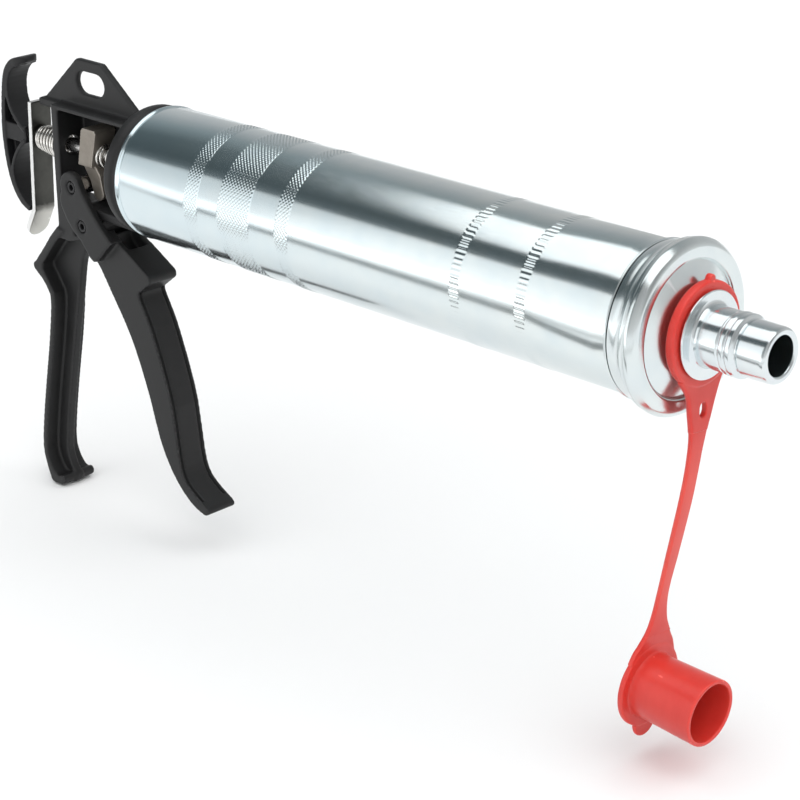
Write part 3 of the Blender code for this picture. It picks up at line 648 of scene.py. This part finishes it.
def make_plug(zinc):
    """The turned coupling plug with its collar, groove and bore."""
    bore = 7.2
    neck = RING_BORE - 0.3
    profile = [(268.0, bore), (268.0, 11.3), (268.5, 11.7), (278.3, 11.7), (278.3, neck), (289.8, neck),
               (289.9, 15.7), (290.4, 16.2), (291.0, 16.2), (291.3, 15.9), (291.3, 13.0), (291.6, 12.0),
               (292.3, 11.4), (293.4, 11.2), (301.3, 11.2), (301.7, 10.7), (302.3, 10.7), (302.7, 11.55),
               (304.4, 11.6), (304.8, 11.25), (305.3, 11.25), (305.7, 11.6), (307.4, 11.55), (308.1, 10.1),
               (308.6, 9.8), (309.3, 9.9), (309.8, 10.35), (319.4, 10.2), (320.6, 9.95), (PLUG_END, 9.3),
               (PLUG_END, 8.0), (320.8, bore + 0.1), (319.6, bore)]
    plug = turned("turned_plug", rounded(profile, 0.35, 3), 112)
    finished(plug, zinc, "cap", "coupling_plug")


# ---------------------------------------------------------------- red dust cap

def make_ring(red):
    """The ring round the plug's neck with the strap's root, its slot and a moulding nub."""
    section = rounded([(286.2, RING_BORE), (286.2, RING_RADIUS), (289.6, RING_RADIUS - 0.2),
                       (289.6, RING_BORE)], 0.9, 5)
    loop = turned("loop", section, 128)
    rows = [(287.9, 0.2, -15.2, 13.0), (287.9, 0.2, -17.6, 11.1), (287.9, 0.2, -21.0, 9.0),
            (287.9, -0.1, -25.0, 7.6), (287.9, -0.6, -29.5, 6.5), (288.0, -1.1, -33.5, 5.4),
            (288.0, -1.4, -36.4, 4.7)]
    root = strip("root", smooth_line(rows, 5), 2.4)
    nub_profile = rounded([(-1.3, 0), (-1.3, 1.7), (1.3, 1.7), (1.3, 0)], 0.5, 3, closed=False)
    nub = turned("nub", nub_profile, 24, centre=(287.9, 2.7, 19.4))
    slot = arc((0.1, -27.4), 1.9, 0, 180, 12) + arc((0.1, -29.4), 1.9, 180, 360, 12)
    cutter = plate_x("slot_cutter", slot, 280, 296)
    bite = root.modifiers.new("slot", "BOOLEAN")
    bite.operation = "DIFFERENCE"
    bite.object = cutter
    frozen(root)
    bpy.data.objects.remove(cutter, do_unlink=True)
    ring = fused("strap_ring", [loop, root, nub], 0.28, 4, 0.5)
    finished(ring, red, "dust_cap_ring", "dust_cap_ring")


# The strap's middle line from the ring to the cup, and its half width there: x, y, z, half.
STRAP_ROWS = [(288.0, -1.3, -35.0, 4.85), (288.0, -1.5, -37.9, 4.35), (287.5, -1.9, -44, 3.7),
              (286.8, -2.8, -53, 3.4), (285.7, -3.9, -63, 3.4), (283.4, -4.4, -75, 3.3),
              (280.8, -4.6, -87, 3.1), (278.7, -4.9, -97, 2.8), (277.6, -5.1, -103, 2.9),
              (276.9, -5.3, -108.5, 3.5), (276.4, -5.5, -113.5, 4.7), (276.1, -5.6, -117.0, 6.3),
              (275.9, -5.7, -119.0, 7.6)]
STRAP_MIDDLE = 6                # the row where its two lengths meet


def make_strap(red):
    """The strap, in two lengths that meet in its middle."""
    upper = strip("strap_upper", smooth_line(STRAP_ROWS[:STRAP_MIDDLE + 1], 8), STRAP_THICKNESS)
    lower = strip("strap_lower", smooth_line(STRAP_ROWS[STRAP_MIDDLE:], 8), STRAP_THICKNESS)
    finished(upper, red, None, "dust_cap_strap")
    finished(lower, red, None, "dust_cap_strap")
    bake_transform(upper)
    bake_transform(lower)


def make_dust_cap(red):
    """The cup that covers the plug, on the disc at the strap's end, with its pull tab."""
    axis = Vector((math.cos(CUP_TILT), 0, -math.sin(CUP_TILT)))
    base = CUP_RADIUS - 0.6
    rim = rounded([(-DISC_HALF, 0), (-DISC_HALF, DISC_RADIUS), (DISC_HALF, DISC_RADIUS), (DISC_HALF, 0)],
                  0.8, 5, closed=False)
    disc = turned("disc", rim, 128, centre=CUP_CENTRE, axis=axis)
    wall = rounded([(0.4, base), (DISC_HALF + 0.5, base + 0.25), (DISC_HALF + 1.4, base),
                    (CUP_LENGTH + 0.3, CUP_RADIUS), (CUP_LENGTH + 0.3, CUP_RADIUS - CUP_WALL),
                    (DISC_HALF + 0.8, base - CUP_WALL), (0.4, base - CUP_WALL)], 0.55, 4)
    cup = turned("cup", wall, 144, centre=CUP_CENTRE, axis=axis)
    tab_profile = rounded([(-0.8, 0), (-0.8, 6.0), (0.8, 6.0), (0.8, 0)], 0.5, 4, closed=False)
    tab_centre = Vector(CUP_CENTRE) + Vector((-0.8, -0.9, -DISC_RADIUS + 1.0))
    tab = turned("tab", tab_profile, 64, centre=tab_centre, axis=axis)
    rows = [(276.0, -5.6, -118.2, 6.95), (275.7, -5.9, -121.0, 8.9), (275.3, -6.3, -124.5, 11.4),
            (275.0, -7.0, -129.0, 13.3)]
    neck = strip("neck", smooth_line(rows, 5), 2.0)
    cap = fused("red_cup", [disc, cup, tab, neck], 0.30, 4, 0.5)
    finished(cap, red, "dust_cap", "dust_cap")


# ---------------------------------------------------------------- rod, springs and pins

def make_rod(steel):
    profile = [(ROD_REAR, 0), (ROD_REAR, ROD_RADIUS - 0.4), (ROD_REAR + 0.4, ROD_RADIUS),
               (ROD_FRONT - 0.6, ROD_RADIUS), (ROD_FRONT, ROD_RADIUS - 0.6), (ROD_FRONT, 0)]
    rod = turned("steel_rod", rounded(profile, 0.3, 3, closed=False), 64)
    finished(rod, steel, "rod", "push_rod")


def coil_line(start, radii, length, turns, wire, tilt):
    """The middle line of a compression spring along +X with both end turns closed."""
    line = []
    per_turn = 36
    open_turns = turns - 2
    pitch = (length - 2 * wire) / open_turns
    for i in range(round(turns * per_turn) + 1):
        turn = i / per_turn
        along = wire * min(turn, 1) + pitch * min(max(turn - 1, 0), open_turns)
        along += wire * max(turn - turns + 1, 0)
        radius = radii[0] + (radii[1] - radii[0]) * turn / turns
        angle = math.tau * turn
        height = radius * math.sin(angle)
        along += tilt * max(1 - turn / 3, 0) * height
        line.append((start + along, radius * math.cos(angle), height - 0.7))
    return line


def make_springs(wire_steel):
    main = tube_along("main_coil", coil_line(-41.3, (5.0, 5.0), 22.9, 7, 1.2, 0.25), 0.6)
    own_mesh(main)
    finished(main, wire_steel, "frame", "main_spring")
    release = tube_along("release_coil", coil_line(-83.9, (5.0, 7.2), 15.2, 7, 1.3, -0.04), 0.65)
    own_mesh(release)
    finished(release, wire_steel, "frame", "release_spring")


def make_roll_pin(name, node, body, centre, steel):
    """A rolled spring pin along Y, with the slit that its rolled edge leaves."""
    sweep = [math.radians(96 + 348 * i / 60) for i in range(61)]
    profile = rounded([(-PIN_HALF, 1.3), (-PIN_HALF, PIN_RADIUS), (PIN_HALF, PIN_RADIUS), (PIN_HALF, 1.3)],
                      0.4)
    points = []
    rings = []
    for along, radius in profile:
        rings.append(list(range(len(points), len(points) + len(sweep))))
        for angle in sweep:
            points.append((centre[0] + radius * math.cos(angle), along, centre[1] + radius * math.sin(angle)))
    faces = [face[::-1] for face in ring_faces(rings, True, len(sweep), wraps=False)]
    faces.append([ring[0] for ring in rings])
    faces.append([ring[-1] for ring in rings][::-1])
    pin = mesh_piece(name, points, faces)
    finished(pin, steel, body, node)


def make_sleeve(steel):
    profile = rounded([(-7.8, PIN_RADIUS + 0.3), (-7.8, 4.1), (7.8, 4.1), (7.8, PIN_RADIUS + 0.3)], 0.4, 4)
    sleeve = turned("hard_sleeve", profile, 64, centre=(PUSHER[0], 0, PUSHER[1]), axis=AXIS_Y)
    finished(sleeve, steel, "trigger", "pusher_sleeve")


def make_bush(bronze):
    profile = rounded([(-17.2, 3.6), (-17.2, 5.0), (-0.7, 5.0), (-0.7, 7.0), (1.2, 7.0), (1.2, 3.6)], 0.3, 3)
    bush = turned("bronze_bush", profile, 64)
    finished(bush, bronze, "frame", "rod_bush")


# ---------------------------------------------------------------- castings and pressings

def make_castings(coat, plastic, sintered, plate_steel):
    """The castings and pressings, each with its voxel, smoothing passes and share of faces kept."""
    for node, name, voxel, passes, keep, material, body, slot in (
            ("frame", "cast_frame", 0.55, 4, 0.35, coat, "frame", "black_coat"),
            ("trigger", "cast_trigger", 0.55, 4, 0.4, coat, "trigger", "black_coat"),
            ("pull_hook", "finger_hook", 0.4, 3, 0.5, plastic, "rod", "black_plastic"),
            ("jam_block", "grip_block", 0.3, 3, 0.5, sintered, "jam_block", "sintered_steel"),
            ("release_plate", "release_strip", 0.28, 3, 0.5, plate_steel, "release_plate", "bright_zinc")):
        finished(cast_from(node, name, voxel, passes, keep), material, body, node)


def dress_node(node, material, edge):
    """A CAD node that is shown as it is, with its edges broken and its own material."""
    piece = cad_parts[node]
    piece.data.materials.clear()
    piece.data.materials.append(material)
    soften = piece.modifiers.new("soften", "BEVEL")
    soften.width = edge * MM
    soften.segments = 3
    soften.limit_method = "ANGLE"
    soften.angle_limit = math.radians(30)


# ---------------------------------------------------------------- studio

def stage_piece(name, points, faces, centre, **look):
    """A piece of the studio, which isn't part of the object, with one plain look."""
    mesh = bpy.data.meshes.new(name)
    mesh.from_pydata(points, [], faces)
    mesh.materials.append(new_material(name, 0.0, **look)[0])
    made = in_scene(name, mesh)
    made.location = centre
    return made


def stage_plane(name, size, centre, colour, rough):
    x = size[0] / 2
    y = size[1] / 2
    corners = [(-x, -y, 0), (x, -y, 0), (x, y, 0), (-x, y, 0)]
    return stage_piece(name, corners, [(0, 1, 2, 3)], centre, Base_Color=(*colour, 1), Roughness=rough,
                       Specular_IOR_Level=0.2)


def backdrop(centre):
    """A white wall all round, which only the camera sees, so that the floor has no horizon."""
    count = 96
    ring = arc((0, 0), WALL_RADIUS, 0, 360, count)[:-1]
    points = [(x, y, z) for z in (0, WALL_HEIGHT) for x, y in ring]
    faces = [(i, (i + 1) % count, (i + 1) % count + count, i + count) for i in range(count)]
    wall = stage_piece("backdrop", points, faces, centre, Base_Color=(0, 0, 0, 1),
                       Emission_Color=(1, 1, 1, 1), Emission_Strength=1.0)
    wall.visible_diffuse = False
    wall.visible_glossy = False
    wall.visible_shadow = False
    wall.visible_transmission = False


def area_light(name, centre, facing, size, power):
    """A light card that metal mirrors and that doesn't light matt surfaces."""
    data = bpy.data.lights.new(name, "AREA")
    data.shape = "RECTANGLE"
    data.size = size[0]
    data.size_y = size[1]
    data.energy = power
    made = in_scene(name, data)
    made.location = centre
    made.rotation_euler = Vector(facing).to_track_quat("-Z", "Y").to_euler()
    made.visible_camera = False
    made.visible_diffuse = False


def soft_sun(name, direction, strength, spread):
    """An even soft light from above that lights the floor and the matt surfaces, and isn't mirrored."""
    data = bpy.data.lights.new(name, "SUN")
    data.energy = strength
    data.angle = math.radians(spread)
    made = in_scene(name, data)
    made.rotation_euler = Vector(direction).to_track_quat("-Z", "Y").to_euler()
    made.visible_glossy = False


def studio_world():
    """A soft surround: dark overhead, lighter low down, and with less contrast in what faces +X."""
    world = bpy.data.worlds.new("studio")
    world.use_nodes = True
    tree = world.node_tree
    coordinate = tree.nodes.new("ShaderNodeTexCoord")
    split = tree.nodes.new("ShaderNodeSeparateXYZ")
    tree.links.new(coordinate.outputs["Generated"], split.inputs["Vector"])
    turn = maths(tree, "ARCTAN2", split.outputs["Z"], split.outputs["Y"])
    share = maths(tree, "DIVIDE", turn, math.pi)
    rear = ramp(tree, share, ((0.0, 0.62), (0.18, 0.50), (0.36, (0.25, 0.29, 0.30)),
                              (0.50, (0.105, 0.13, 0.137)), (0.70, (0.075, 0.094, 0.10)),
                              (0.86, (0.18, 0.21, 0.22)), (1.0, 0.45)))
    front = ramp(tree, share, ((0.0, 0.75), (0.25, 0.50), (0.50, 0.30), (0.75, 0.50), (1.0, 0.80)))
    ahead = maths(tree, "MULTIPLY_ADD", split.outputs["X"], 0.5, 0.5)
    facing = ramp(tree, ahead, ((0.45, 0.0), (0.80, 1.0)))
    tree.links.new(mixed(tree, facing, rear, front), tree.nodes["Background"].inputs["Color"])
    bpy.context.scene.world = world


def make_studio():
    """A pale floor, a light card overhead and two on the near side, a soft sky and two dark strips on the
    floor, which are seen only in the barrel's mirror finish."""
    studio_world()
    low, high = CAD_BOX
    middle = (Vector(low) + Vector(high)) / 2
    floor_z = low[2] - 0.0005
    stage_plane("floor", (9, 9), (middle.x, middle.y, floor_z), (0.86, 0.86, 0.86), 0.6)
    for name, offset, facing, size, power in (
            ("overhead", (0.17, -0.08, 1.0), (0, 0, -1), (1.8, 0.9), 6.5),
            ("rear_wall", (-1.25, -0.62, 0.165), (0, 1, 0), (1.5, 0.64), 1.85),
            ("front_wall", (-0.15, -0.62, 0.165), (0, 1, 0), (0.7, 0.64), 1.35)):
        area_light(name, ORIGIN + Vector(offset), facing, size, power)
    soft_sun("sky", (-0.25, 0.30, -1.0), 3.35, 110)
    seam = stage_plane("floor_seam", (0.95, 0.09), (ORIGIN.x - 0.14, ORIGIN.y - 0.375, floor_z + 0.002),
                       (0.20, 0.21, 0.21), 0.8)
    seam.rotation_euler.z = math.radians(17)
    shade = stage_plane("floor_shade", (3.0, 0.12), (-0.5, -0.46, floor_z + 0.001), (0.55, 0.56, 0.56), 0.8)
    for dark in (seam, shade):
        dark.visible_camera = False
        dark.visible_diffuse = False
        dark.visible_shadow = False
    backdrop((middle.x, middle.y, floor_z))
    bpy.context.scene.view_settings.view_transform = "Standard"


def make_camera():
    """A long lens at the photograph's angle: off the front right corner, looking 22 degrees down."""
    data = bpy.data.cameras.new("camera")
    data.lens = 107.18
    data.sensor_width = 36
    camera = in_scene("camera", data)
    camera.location = (0.8063, -0.6205, 0.2588)
    camera.rotation_euler = [math.radians(turn) for turn in (67.9627, 0.6801, 44.7139)]
    bpy.context.scene.camera = camera


# ---------------------------------------------------------------- assembly

def main():
    zinc = zinc_material("bright_zinc_look", (0.75, 0.80, 0.80), (0.69, 0.76, 0.78), 0.13, (0.06, 1, 1))
    turned_zinc = zinc_material("turned_zinc_look", (0.76, 0.80, 0.81), (0.70, 0.76, 0.79), 0.14,
                                (6, 0.3, 0.3))
    # The cap's zinc has painted shade: a near-black line in its groove, 1.3 mm from its rear edge.
    pressed_zinc = zinc_material("pressed_zinc_look", (0.75, 0.80, 0.80), (0.69, 0.75, 0.77), 0.17,
                                 (1, 1, 1), seam=CAP_REAR + 1.3)
    plate_steel = rolled_plate()
    black_steel = oxide_steel()
    coat = black_coat()
    plastic = black_plastic()
    steel = steel_material("polished_steel_look", (0.62, 0.61, 0.60), (0.48, 0.46, 0.44), 0.24,
                           (0.1, 1, 1))
    wire = steel_material("spring_steel_look", (0.72, 0.70, 0.66), (0.52, 0.49, 0.45), 0.22, (1, 1, 1))
    bronze = steel_material("bronze_look", (0.55, 0.38, 0.18), (0.42, 0.27, 0.12), 0.34, (1, 1, 1))
    sintered = sintered_steel()
    black_rubber = rubber()
    red = red_polyethylene("red_polyethylene_look", True)
    strap_red = red_polyethylene("strap_red_look", False)

    make_barrel(zinc)
    make_cap(pressed_zinc)
    make_plug(turned_zinc)
    make_ring(red)
    make_strap(strap_red)
    make_dust_cap(red)
    make_rod(steel)
    make_springs(wire)
    make_roll_pin("pivot_roll_pin", "pivot_pin", "frame", PIVOT, black_steel)
    make_roll_pin("pusher_roll_pin", "pusher_pin", "trigger", PUSHER, black_steel)
    make_sleeve(steel)
    make_bush(bronze)
    make_castings(coat, plastic, sintered, plate_steel)
    for node in ("cap_gasket", "piston_cup"):
        dress_node(node, black_rubber, 0.3)
    for node in ("piston_backing_plate", "piston_front_plate"):
        dress_node(node, turned_zinc, 0.3)
    for node in ("plug_nut", "piston_lock_nut", "piston_nut"):
        dress_node(node, turned_zinc, 0.4)
    make_studio()
    make_camera()


main()
